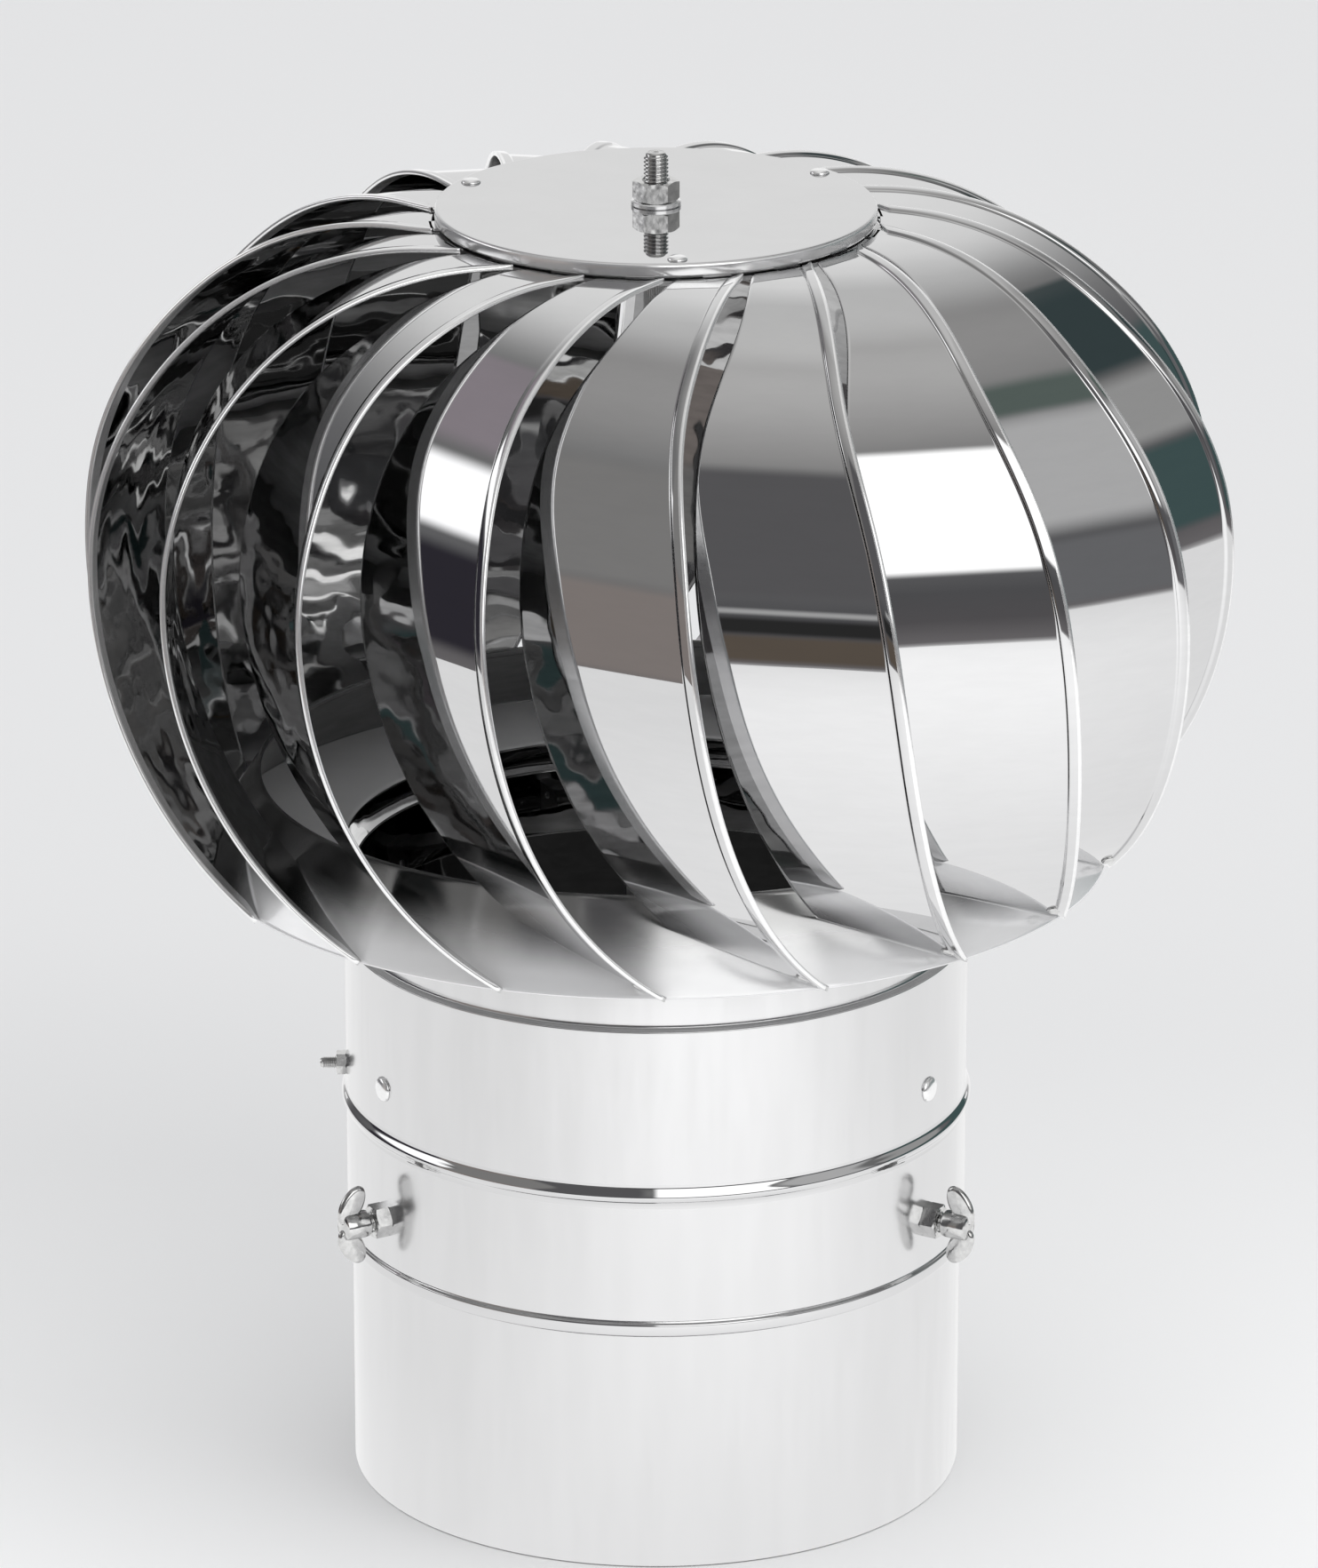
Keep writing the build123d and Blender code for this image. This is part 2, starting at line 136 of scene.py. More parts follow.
class Graph:
    """A node tree that starts empty and grows one node at a time."""

    def __init__(self, tree):
        self.tree = tree
        tree.nodes.clear()

    def node(self, kind, settings=None, sockets=None, output=0):
        made = self.tree.nodes.new("ShaderNode" + kind)
        for name, value in (settings or {}).items():
            if name == "stops":
                ramp = made.color_ramp.elements
                while len(ramp) < len(value):
                    ramp.new(0.5)
                for element, (position, colour) in zip(ramp, value):
                    element.position = position
                    element.color = (*colour, 1)
            else:
                setattr(made, name, value)
        for name, value in (sockets or {}).items():
            if isinstance(value, Signal):
                self.tree.links.new(value.socket, made.inputs[name])
            else:
                made.inputs[name].default_value = value
        return Signal(self, made.outputs[output]) if made.outputs else made

    def maths(self, operation, *values):
        return self.node("Math", {"operation": operation}, dict(enumerate(values)))

    def axes(self, vector):
        split = self.node("SeparateXYZ", None, {"Vector": vector}).socket.node
        return [Signal(self, output) for output in split.outputs]

    def noise(self, spot, scale, detail=3.0, roughness=0.5):
        sockets = {"Vector": spot, "Scale": scale, "Detail": detail, "Roughness": roughness}
        return self.node("TexNoise", None, sockets)

    def span(self, value, low, high, start=0.0, end=1.0):
        settings = {"interpolation_type": "SMOOTHSTEP"}
        sockets = {"Value": value, "From Min": low, "From Max": high, "To Min": start, "To Max": end}
        return self.node("MapRange", settings, sockets)

    def blend(self, share, first, second):
        return self.node("Mix", {"data_type": "RGBA"}, {0: share, 6: first, 7: second}, 2)

    def stretch(self, spot, scale):
        return self.node("VectorMath", {"operation": "MULTIPLY"}, {0: spot, 1: scale})


print("shader language ready")

# %% [markdown]
# ## The room that the steel mirrors
# Polished steel has almost no colour of its own: what the eye reads as steel is the room. The
# photograph's vanes mirror a white table, a dark strip beyond its edge, a bright window, a few dark
# panels and a grey ceiling. Cards on stands could stand in for them, but a world of soft-edged patches
# by bearing and elevation has no geometry to trip over and works from every side.

# %% Walls and backdrop by elevation
world = bpy.data.worlds.new("studio room")
scene.world = world
world.use_nodes = True
room = Graph(world.node_tree)
way_x, way_y, way_z = room.axes(room.node("TexCoord", None, None, "Generated"))
degrees = 180 / math.pi
bearing = way_x.maths("ARCTAN2", 0 - way_y) * degrees
elevation = way_z.maths("ARCSINE") * degrees

wall_stops = [
    (0.0, (1.0, 1.0, 1.0)),
    (0.394, (1.0, 1.0, 1.0)),
    (0.4, (0.20, 0.19, 0.195)),
    (0.45, (0.12, 0.115, 0.12)),
    (0.51, (0.11, 0.11, 0.115)),
    (0.57, (0.17, 0.17, 0.175)),
    (0.64, (0.20, 0.20, 0.20)),
    (0.76, (0.24, 0.24, 0.24)),
    (0.83, (0.40, 0.395, 0.39)),
    (1.0, (0.72, 0.715, 0.705)),
]
backdrop_stops = [
    (0.0, (0.95, 0.95, 0.95)),
    (0.5, (0.86, 0.86, 0.86)),
    (0.60, (0.97, 0.97, 0.965)),
    (0.67, (0.93, 0.93, 0.925)),
    (0.75, (0.70, 0.70, 0.695)),
    (1.0, (0.76, 0.755, 0.745)),
]
wall_end, backdrop_start = 138, 168
level = elevation / 180 + 0.5
wall = room.node("ValToRGB", {"stops": wall_stops}, {"Fac": level})
backdrop = room.node("ValToRGB", {"stops": backdrop_stops}, {"Fac": level})
behind = room.span(bearing.maths("ABSOLUTE"), wall_end, backdrop_start)
seen = room.blend(behind, wall, backdrop)
print("wall stops:", len(wall_stops), "backdrop stops:", len(backdrop_stops))

# %% Soft patches on the walls
# left, right, low and high edges in degrees, the softness of the edges, and the colour
patches = {
    "dark panel": (-44, -5, 8, 54, 2.5, (0.135, 0.133, 0.138)),
    "warm boards": (-84, -44, -18, 12, 2.5, (0.30, 0.265, 0.25)),
    "warm wall": (-84, -44, 12, 48, 3.0, (0.28, 0.275, 0.27)),
    "front window": (0, 48, 9, 53, 1.6, (1.75, 1.75, 1.74)),
    "left shade": (-124, -84, -13, 11, 2.0, (0.035, 0.032, 0.042)),
    "left window": (-124, -84, 15, 30, 1.6, (1.65, 1.65, 1.66)),
    "lilac wall": (-142, -104, 33, 43, 2.0, (0.34, 0.30, 0.33)),
    "pale wall": (52, 84, 9, 44, 4.0, (0.60, 0.60, 0.60)),
    "green beam": (70, 102, 45, 53, 1.6, (0.13, 0.165, 0.15)),
    "green curtain": (90, 150, -13, 9, 1.6, (0.07, 0.115, 0.115)),
    "pale gap": (90, 124, 11, 26, 2.0, (0.42, 0.42, 0.415)),
    "dark beam": (104, 140, 28, 41, 1.6, (0.05, 0.072, 0.075)),
    "brown shelf": (-34, -5, -17, -7, 1.5, (0.135, 0.11, 0.088)),
    "black gap": (-34, -5, -6, 0, 1.2, (0.032, 0.032, 0.032)),
    "bright strip": (-26, -11, 1.6, 3.4, 0.8, (0.50, 0.50, 0.50)),
    "grey dado": (50, 84, -17, 5, 2.0, (0.19, 0.192, 0.20)),
}
for left, right, low, high, soft, colour in patches.values():
    across = room.span(bearing, left - soft, left + soft)
    across *= room.span(bearing, right + soft, right - soft)
    upright = room.span(elevation, low - soft, low + soft)
    upright *= room.span(elevation, high + soft, high - soft)
    seen = room.blend(across * upright, seen, (*colour, 1))

daylight = (0.985, 0.99, 1.0, 1)
pale_backdrop = (0.755, 0.755, 0.76, 1)
camera_ray = room.node("LightPath", None, None, "Is Camera Ray")
diffuse_ray = room.node("LightPath", None, None, "Is Diffuse Ray")
lit = room.blend(diffuse_ray, room.blend(camera_ray, seen, pale_backdrop), daylight)
background = room.node("Background", None, {"Color": lit, "Strength": 1.0})
room.node("OutputWorld", None, {"Surface": background})
print("room patches:", len(patches))

# %% [markdown]
# ## Floor and lamp
# The cowl stands on a white table. Seen by the camera the table has no end, but in the steel it ends
# about a metre in front of the cowl, and a dark strip follows. So the floor lets mirrored rays
# through beyond the table's edge. One large lamp gives the faint shadow on one side.

# %% Sheet of the table
half_width = 9.0
table_drop = 0.0004
corners = [(x * half_width, y * half_width, 0) for x, y in ((-1, -1), (1, -1), (1, 1), (-1, 1))]
floor_mesh = bpy.data.meshes.new("floor")
floor_mesh.from_pydata(corners, [], [(0, 1, 2, 3)])
floor = bpy.data.objects.new("floor", floor_mesh)
floor.location = (0, 0, -table_drop)
scene.collection.objects.link(floor)
floor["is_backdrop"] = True
print("floor", half_width * 2, "m wide")

# %% Paint of the table, as seen and as mirrored, with painted light and shade
table_reach, sweep_start, sweep_flare = 1.12, 0.35, 1.4
# The seen table is painted brighter near the front and dimmer further back: a painted light falloff.
painted_light_near, painted_shade_far = (0.92, 0.92, 0.92, 1), (0.74, 0.74, 0.742, 1)
painted_light_centre = (0.25, -0.7, 0)
floor_paint = bpy.data.materials.new("white table")
floor_paint.use_nodes = True
table = Graph(floor_paint.node_tree)
table_spot = table.node("TexCoord", None, None, "Object")
sideways, depth, _ = table.axes(table_spot)
from_centre = table.node("VectorMath", {"operation": "LENGTH"}, {0: table_spot}, "Value")
sweep_edge = depth - sideways.maths("ABSOLUTE") * sweep_flare
beyond = from_centre.maths("GREATER_THAN", table_reach) * sweep_edge.maths("LESS_THAN", sweep_start)

grain = table.noise(table_spot, 900.0, 2.0)
from_front = depth + 0.35
painted_falloff = table.span(from_front.maths("ABSOLUTE") + grain * 0.02, 0.3, 0.8)
paint = table.node("BsdfDiffuse", None, {"Color": table.blend(painted_falloff, painted_light_near, painted_shade_far)})

# In the mirror the table glows white, with a painted pool of light towards one spot and painted shade inside
# the pipe's foot.
painted_light_ends = {0: table_spot, 1: painted_light_centre}
from_painted_light = table.node("VectorMath", {"operation": "DISTANCE"}, painted_light_ends, "Value")
painted_shade_in_pipe = table.span(from_centre, 0.096, 0.1, 0.06, 1.0)
painted_glow_and_shade = (1.05 + 0.36 * table.span(from_painted_light, 0.9, 0.1)) * painted_shade_in_pipe
mirrored_white = table.node("Emission", None, {"Color": painted_glow_and_shade, "Strength": 1.0})
clear = table.node("BsdfTransparent")
mirrored = table.node("MixShader", None, {0: beyond, 1: mirrored_white, 2: clear})
glossy_ray = table.node("LightPath", None, None, "Is Glossy Ray")
table_surface = table.node("MixShader", None, {0: glossy_ray, 1: paint, 2: mirrored})
table.node("OutputMaterial", None, {"Surface": table_surface})
floor_mesh.materials.append(floor_paint)
print("mirrored table ends at", table_reach, "m")

# %% Soft lamp
lamp_data = bpy.data.lights.new("soft lamp", "AREA")
lamp_data.shape = "DISK"
lamp_data.size = 1.6
lamp_data.energy = 17
lamp = bpy.data.objects.new("soft lamp", lamp_data)
lamp.location = (1.5, -1.2, 2.6)
lamp_target = Vector((0, 0, 0.2))
lamp.rotation_euler = (lamp_target - lamp.location).to_track_quat("-Z", "Y").to_euler()
lamp.visible_glossy = False
scene.collection.objects.link(lamp)
print("lamp", lamp_data.energy, "W")

# %% [markdown]
# ## The metals
# Eight finishes: mirror sheet on the outside of the vanes, the same sheet crinkled and darker inside,
# where the darkness is painted shade, a pale skirt that is polished towards its upper edge and darkened
# there as painted shade, paler hems and rivets, where the hems' pale tone is a painted highlight, bright
# rolled sheet for the collar and pipe, plated steel for the fasteners, plain bar inside, and bronze for
# the bushes.
# Real sheet is never quite flat or evenly clean, so each finish gets a slow ripple for its normal and
# fine lines and smears for its tone and roughness. A single grey would look like plastic.

# %% A metal with lines, smears and a ripple
painted_shade_tone = (0.42, 0.42, 0.42, 1)


def metal(name, light, dark, roughness, lines, ripple, mirror=1.0, polish_and_shade=None):
    """A metal whose tone and roughness follow fine lines, polished above a range of heights and darkened
    there as painted shade.
    """
    made = bpy.data.materials.new(name)
    made.use_nodes = True
    graph = Graph(made.node_tree)
    spot = graph.node("TexCoord", None, None, "Object")
    line_scale, line_stretch = lines
    streaks = graph.noise(graph.stretch(spot, line_stretch), line_scale, 4.0, 0.6)
    smears = graph.noise(spot, 14.0, 4.0, 0.55)
    wear = graph.span(streaks * 0.6 + smears * 0.4, 0.32, 0.68)
    tone = graph.blend(wear, (*light, 1), (*dark, 1))
    if polish_and_shade:
        # Above the given heights the metal turns more metallic and its tone darkens to a painted shade,
        # standing in for the shade and reflection of the vanes above.
        polish_and_shade_share = graph.span(graph.axes(spot)[2] + smears * 0.012, *polish_and_shade)
        mirror = polish_and_shade_share * (1 - mirror) + mirror
        tone = graph.blend(polish_and_shade_share, tone, painted_shade_tone)
    ripple_scale, ripple_height = ripple
    waves = graph.noise(spot, ripple_scale, 1.5, 0.4)
    smooth, rough = roughness
    sockets = {
        "Base Color": tone,
        "Roughness": wear * (rough - smooth) + smooth,
        "Metallic": mirror,
        "Normal": graph.node("Bump", None, {"Height": waves, "Distance": ripple_height, "Strength": 1.0}),
    }
    surface = graph.node("BsdfPrincipled", None, sockets)
    graph.node("OutputMaterial", None, {"Surface": surface})
    return made


print("painted shade tone", painted_shade_tone[:3])

# %% Metals of the sheets
mirror_steel = metal(
    "mirror steel",
    light=(0.64, 0.64, 0.645),
    dark=(0.62, 0.62, 0.625),
    roughness=(0.015, 0.035),
    lines=(60.0, (1, 1, 5)),
    ripple=(16.0, 0.00012),
)
# Darker sheet for the insides: the vanes' backs, the skirt's inner face, the top of the rotor's floor and
# the bores. Its darkness is painted shade; the crinkled ripple is the sheet's own.
shaded_inner_steel = metal(
    "mirror steel with painted shade inside",
    light=(0.44, 0.44, 0.44),
    dark=(0.33, 0.33, 0.33),
    roughness=(0.02, 0.05),
    lines=(60.0, (1, 1, 5)),
    ripple=(36.0, 0.0009),
)
# The skirt's upper band is darkened as painted shade from the vanes above.
shade_banded_skirt_steel = metal(
    "skirt steel with painted shade band",
    light=(0.86, 0.86, 0.865),
    dark=(0.83, 0.83, 0.835),
    roughness=(0.15, 0.21),
    lines=(50.0, (1, 1, 4)),
    ripple=(14.0, 0.00006),
    mirror=0.3,
    polish_and_shade=(0.223, 0.239),
)
# Pale metal for the hems, the disc's lip, the washer and the rivets. On the hems and the lip its paleness is
# a painted highlight that draws the edges as bright lines; on the washer it is painted light that keeps its
# sides from mirroring a dark band.
pale_and_highlight_steel = metal(
    "pale steel with painted highlight",
    light=(0.90, 0.90, 0.90),
    dark=(0.84, 0.84, 0.845),
    roughness=(0.16, 0.24),
    lines=(60.0, (1, 1, 5)),
    ripple=(30.0, 0.00002),
    mirror=0.8,
)
satin_steel = metal(
    "bright rolled steel",
    light=(0.69, 0.69, 0.695),
    dark=(0.67, 0.67, 0.675),
    roughness=(0.16, 0.22),
    lines=(12.0, (9, 9, 1)),
    ripple=(11.0, 0.0002),
)
print("sheet metals: 5")

# %% Metals of the fasteners and the bearing, and the slots
plated_steel = metal(
    "plated steel",
    light=(0.66, 0.66, 0.655),
    dark=(0.50, 0.50, 0.50),
    roughness=(0.08, 0.22),
    lines=(400.0, (1, 1, 1)),
    ripple=(420.0, 0.00006),
)
plain_steel = metal(
    "plain bar steel",
    light=(0.55, 0.55, 0.555),
    dark=(0.44, 0.44, 0.445),
    roughness=(0.28, 0.45),
    lines=(90.0, (1, 1, 10)),
    ripple=(60.0, 0.0001),
)
bronze = metal(
    "oiled bronze",
    light=(0.66, 0.46, 0.25),
    dark=(0.50, 0.34, 0.18),
    roughness=(0.28, 0.42),
    lines=(900.0, (1, 1, 1)),
    ripple=(700.0, 0.00005),
)
slot_metals = {
    "mirror_steel": mirror_steel,
    "satin_steel": satin_steel,
    "fastener_steel": plated_steel,
    "dark_steel": plain_steel,
    "bush_bronze": bronze,
}
for row in frame["record"]["subparts"]:
    mesh = nodes[row["node"]].data
    mesh.materials.clear()
    mesh.materials.append(slot_metals[row["material_slot"]])
print("slots:", sorted(slot_metals))

# %% [markdown]
# ## Making a piece
# Every new skin is a mesh from points and faces. A helper links it, smooths it, gives it its metal and
# says which body carries it and which solid it stands for. Bodies move as one, so this is all that is
# needed for the joints to work. Sizes are written in millimetres and turned into metres at the end.


# %% Helpers for pieces
def piece(name, points, faces, slot, body, stands_for=(), flat=(), finish=None, sharp=None):
    """A finished object that rides on a body. Edges steeper than the sharp angle stay crisp."""
    mesh = bpy.data.meshes.new(name)
    mesh.from_pydata([tuple(p) for p in points], [], faces)
    mesh.polygons.foreach_set("use_smooth", [index not in flat for index in range(len(faces))])
    mesh.materials.append(finish or slot_metals[slot])
    mesh.validate()
    if sharp:
        mesh.set_sharp_from_angle(angle=math.radians(sharp))
    made = bpy.data.objects.new(name, mesh)
    scene.collection.objects.link(made)
    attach(made, body)
    if stands_for:
        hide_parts(*stands_for)
    return made


def refinish(made, finish, faces):
    """Gives some faces of a piece another metal."""
    made.data.materials.append(finish)
    for face in faces:
        made.data.polygons[face].material_index = len(made.data.materials) - 1


print("piece helpers ready")

# %% Helpers for turned forms
mm = 0.001


def lathe(profile, segments=192):
    """Points and faces of a closed profile of (radius, height) turned about the shaft."""
    points = []
    for step in range(segments):
        turn = 2 * math.pi * step / segments
        points += [(r * math.sin(turn), -r * math.cos(turn), z) for r, z in profile]
    size = len(profile)
    faces = []
    for step in range(segments):
        here = step * size
        there = (step + 1) % segments * size
        for index in range(size):
            after = (index + 1) % size
            faces.append((here + index, there + index, there + after, here + after))
    return points, faces


def turned_ring(profile):
    """A large ring of sheet, in metres, smooth enough for a mirror."""
    return lathe([(r * mm, z * mm) for r, z in profile], 256)


def arc(centre_r, centre_z, radius, start, end, count):
    """Profile points along an arc, with angles in degrees from outwards towards up."""
    angles = [math.radians(start + (end - start) * step / count) for step in range(count + 1)]
    return [(centre_r + radius * math.cos(a), centre_z + radius * math.sin(a)) for a in angles]


def profile_faces(made, profile, start, end):
    """Faces of a turned piece that lie between two points of its profile."""
    size = len(profile)
    return [face.index for face in made.data.polygons if start <= face.index % size < end]


print("turning helpers ready")

# %% [markdown]
# ## Vanes
# Each vane is a strip of sheet rolled about a level axis, so it curves one way only and mirrors the
# room in straight bands. Its outer edge is folded over into a hem that catches a bright line, and the
# hem's paler metal paints a highlight along it. The solid has the same roll and outline; here it is
# built again with a rounded hem and enough steps for a mirror. A section across the strip, of places
# along the ruling and distances from the sheet's middle, is carried along the roll.

# %% Roll and outline of one vane
vane_count = 18
vane_step = 360 / vane_count
vane_phase = 3.1
vane_pitch = math.radians(33)
outline_tilt = math.radians(18)
roll_height, roll_reach = 326.5, 153.2
lower_bend, body_bend, shoulder_bend = 137.0, 90.0, 96.87
body_turn = math.radians(10)
shoulder_z = roll_height + (body_bend - shoulder_bend) * math.sin(body_turn)
shoulder_reach = roll_reach - body_bend + (body_bend - shoulder_bend) * math.cos(body_turn)
crown_z = shoulder_z + shoulder_bend
outer_outline = [(48, 395), (61, 384), (80, 342), (94.7, 300), (105, 249), (111, 200), (116, 172)]
outer_outline += [(119, 160)]
inner_outline = [(30, 396), (38, 388), (42, 376), (37, 335), (37, 300), (44.5, 249), (55, 215)]
inner_outline += [(72, 183), (86, 165)]


def spline(outline, count=300):
    """Points of a cubic spline through a few outline points, sorted by height."""
    given = np.array(outline, float)
    step = np.linalg.norm(np.diff(given, axis=0), axis=1)
    knots = np.concatenate(([0], np.cumsum(step)))
    slopes = np.diff(given, axis=0) / step[:, None]
    size = len(given)
    system = np.eye(size)
    turns = np.zeros_like(given)
    for row in range(1, size - 1):
        system[row, row - 1 : row + 2] = step[row - 1], 2 * (step[row - 1] + step[row]), step[row]
        turns[row] = slopes[row] - slopes[row - 1]
    bend = np.linalg.solve(system, 6 * turns)
    at = np.linspace(0, knots[-1], count)
    left = np.clip(np.searchsorted(knots, at, side="right") - 1, 0, size - 2)
    gone = (at - knots[left])[:, None]
    rest = (knots[left + 1] - at)[:, None]
    gap = step[left][:, None]
    curve = (bend[left] * rest**3 + bend[left + 1] * gone**3) / (6 * gap)
    curve += (given[left] / gap - bend[left] * gap / 6) * rest
    curve += (given[left + 1] / gap - bend[left + 1] * gap / 6) * gone
    return curve[np.argsort(curve[:, 1])]


outer_curve = spline(outer_outline)
inner_curve = spline(inner_outline)
print("vane crown at height", round(crown_z, 2))

# %% Stations along the roll
skirt_rim_r, skirt_rim_z = 147.0, 212.0
skirt_top_r, skirt_top_z = 129.5, 240.0
disc_clear, skirt_clear = 71.2, 0.5


def roll_station(turn, flat_run=0.0):
    """Reach, height and outward direction of the sheet at an angle of the roll."""
    side, rise = math.cos(turn), math.sin(turn)
    if turn < 0:
        return roll_reach - lower_bend * (1 - side), roll_height + lower_bend * rise, side, rise
    if turn < body_turn:
        return roll_reach - body_bend * (1 - side), roll_height + body_bend * rise, side, rise
    return shoulder_reach + shoulder_bend * side - flat_run, shoulder_z + shoulder_bend * rise, side, rise


def strip_edges(reach, z):
    """Where the strip starts and ends along its ruling, clear of the skirt and the disc's middle."""
    level = z * math.cos(outline_tilt) - reach * math.sin(outline_tilt)
    inner = np.interp(level, inner_curve[:, 1], inner_curve[:, 0])
    outer = np.interp(level, outer_curve[:, 1], outer_curve[:, 0])
    seat = disc_clear
    if z < skirt_top_z + skirt_clear:
        share = (skirt_top_z - z) / (skirt_top_z - skirt_rim_z)
        seat = skirt_top_r + share * (skirt_rim_r - skirt_top_r) + skirt_clear
    return max(inner, math.sqrt(max(seat**2 - reach**2, 0))), outer


stations = [roll_station(math.radians(angle)) for angle in np.linspace(-62, 90, 150)]
stations += [roll_station(math.pi / 2, run) for run in np.linspace(0.5, 24, 24)]
print("stations along the roll:", len(stations))

# %% Section across the strip
sheet = 0.4
hem_width, hem_top = 4.5, 1.3
nose_middle, nose_r = 0.45, 0.85
least_width, full_width = 0.8, 9.0


def section(inner, outer):
    """Closed loop of (place along the ruling, distance from the sheet's middle)."""
    fit = min(1.0, (outer - inner) / full_width)
    hem = outer - hem_width * fit
    nose = nose_r * fit
    loop = [(inner + 0.4 * fit, sheet), (inner + 1.2 * fit, sheet)]
    loop += [(hem - 0.6 * fit, sheet), (hem - 0.1 * fit, sheet)]
    loop += [(hem + 0.2 * fit, 0.72), (hem + 0.5 * fit, 1.12), (hem + 1.0 * fit, hem_top)]
    loop += [(outer - 1.3 * fit, hem_top)]
    for angle in range(90, -91, -30):
        swing = math.radians(angle)
        loop.append((outer - nose + nose * math.cos(swing), nose_middle + nose_r * math.sin(swing)))
    loop += [(outer - 1.4 * fit, -sheet), (hem, -sheet)]
    loop += [(inner + 1.2 * fit, -sheet), (inner + 0.4 * fit, -sheet)]
    loop += [(inner + 0.1 * fit, -0.25), (inner, 0.0), (inner + 0.1 * fit, 0.25)]
    return loop


along = Vector((math.cos(vane_pitch), -math.sin(vane_pitch), 0))
outward = Vector((-math.sin(vane_pitch), -math.cos(vane_pitch), 0))
up = Vector((0, 0, 1))
vane_points = []
loops = 0
for reach, z, side, rise in stations:
    inner, outer = strip_edges(reach, z)
    if outer - inner < least_width:
        continue
    facing = outward * side + up * rise
    for place, offset in section(inner, outer):
        vane_points.append((outward * reach + up * z + along * place + facing * offset) * mm)
    loops += 1
loop_size = len(vane_points) // loops
print("loops:", loops, "of", loop_size, "points")

# %% Faces of the strip, and the tab under the disc
inner_side = loop_size - 6
hem_sides = range(7, inner_side)
vane_faces, inner_faces, hem_faces = [], [], []
for step in range(loops - 1):
    here, there = step * loop_size, (step + 1) * loop_size
    for index in range(loop_size):
        after = (index + 1) % loop_size
        if index == inner_side:
            inner_faces.append(len(vane_faces))
        if index in hem_sides:
            hem_faces.append(len(vane_faces))
        vane_faces.append((here + index, here + after, there + after, there + index))
first_flat = len(vane_faces)
vane_faces.append(tuple(range(loop_size - 1, -1, -1)))
vane_faces.append(tuple(range((loops - 1) * loop_size, loops * loop_size)))

tab_bearing = 12.8
tab_start, tab_end, tab_half = 57, 72.2, 4.6
tab_turn = math.radians(tab_bearing)
tab_out = Vector((math.sin(tab_turn), -math.cos(tab_turn), 0))
tab_side = Vector((math.cos(tab_turn), math.sin(tab_turn), 0))
tab_corners = [(tab_start, -tab_half), (tab_end, -tab_half), (tab_end, tab_half), (tab_start, tab_half)]
first_corner = len(vane_points)
for offset in (-sheet, sheet):
    for radius, half in tab_corners:
        vane_points.append((tab_out * radius + tab_side * half + up * (crown_z + offset)) * mm)
box_faces = [(3, 2, 1, 0), (4, 5, 6, 7), (0, 1, 5, 4), (1, 2, 6, 5), (2, 3, 7, 6), (3, 0, 4, 7)]
vane_faces += [tuple(first_corner + corner for corner in face) for face in box_faces]
flat_faces = set(range(first_flat, len(vane_faces)))
print("faces on one vane:", len(vane_faces))

# %% Eighteen vanes
for index in range(vane_count):
    turn = Matrix.Rotation(math.radians(vane_phase + vane_step * index), 3, "Z")
    turned = [turn @ point for point in vane_points]
    node = f"vane_{index + 1:02d}"
    made = piece(f"{node}_skin", turned, vane_faces, "mirror_steel", "rotor", (node,), flat_faces)
    # The vane's concave back takes the darker inner metal as painted shade.
    refinish(made, shaded_inner_steel, inner_faces)
    # The hem takes the pale metal as a painted highlight.
    refinish(made, pale_and_highlight_steel, hem_faces)
print("vanes:", vane_count)

# %% [markdown]
# ## Skirt under the vanes
# The vanes stand on a cone of sheet with a hem at each edge. It could be a plain cone with thickness,
# but turning a profile about the shaft gives it exactly, and rounding the hems in the profile gives
# the thin highlights that a square edge lacks. Close points beside each bend keep the flat stretches
# flat under smooth shading.

# %% Skirt ring
slope = (skirt_rim_r - skirt_top_r) / (skirt_top_z - skirt_rim_z)


def on_skirt(z, inwards=0.0):
    return (skirt_rim_r - (z - skirt_rim_z) * slope - inwards, z)


skirt_profile = [on_skirt(z) for z in (212.6, 213.4, 218, 224, 230, 236, 238.6, 239.4)]
skirt_profile += [on_skirt(239.9, 0.3), on_skirt(240, 0.9), on_skirt(239.8, 1.5), on_skirt(239.2, 1.8)]
skirt_profile += [on_skirt(237.4, 1.8), on_skirt(237, 1.5), on_skirt(236.9, 1.0), on_skirt(236.2, 1.0)]
skirt_profile += [on_skirt(z, 1.0) for z in (230, 222, 216, 215.2)]
skirt_profile += [on_skirt(215, 1.5), on_skirt(214.6, 1.8), on_skirt(212.8, 1.8), on_skirt(212.2, 1.5)]
skirt_profile += [on_skirt(212, 0.9), on_skirt(212.1, 0.3)]
skirt = piece(
    "skirt_skin", *turned_ring(skirt_profile), "mirror_steel", "rotor", ("skirt_ring",), finish=shade_banded_skirt_steel
)
upper_hem_end, lower_hem_start = 11, 20
# The skirt's inner face takes the darker inner metal as painted shade.
refinish(skirt, shaded_inner_steel, profile_faces(skirt, skirt_profile, upper_hem_end, lower_hem_start))
print("skirt profile points:", len(skirt_profile))

# %% [markdown]
# ## Floor of the rotor
# Inside the skirt a thin ring closes the gap to the collar, and its inner edge is turned down over the
# collar's upstand without touching it. A flat disc with a hole would close the gap too, but the
# rounded corner and the lip give the edge that sheet has.

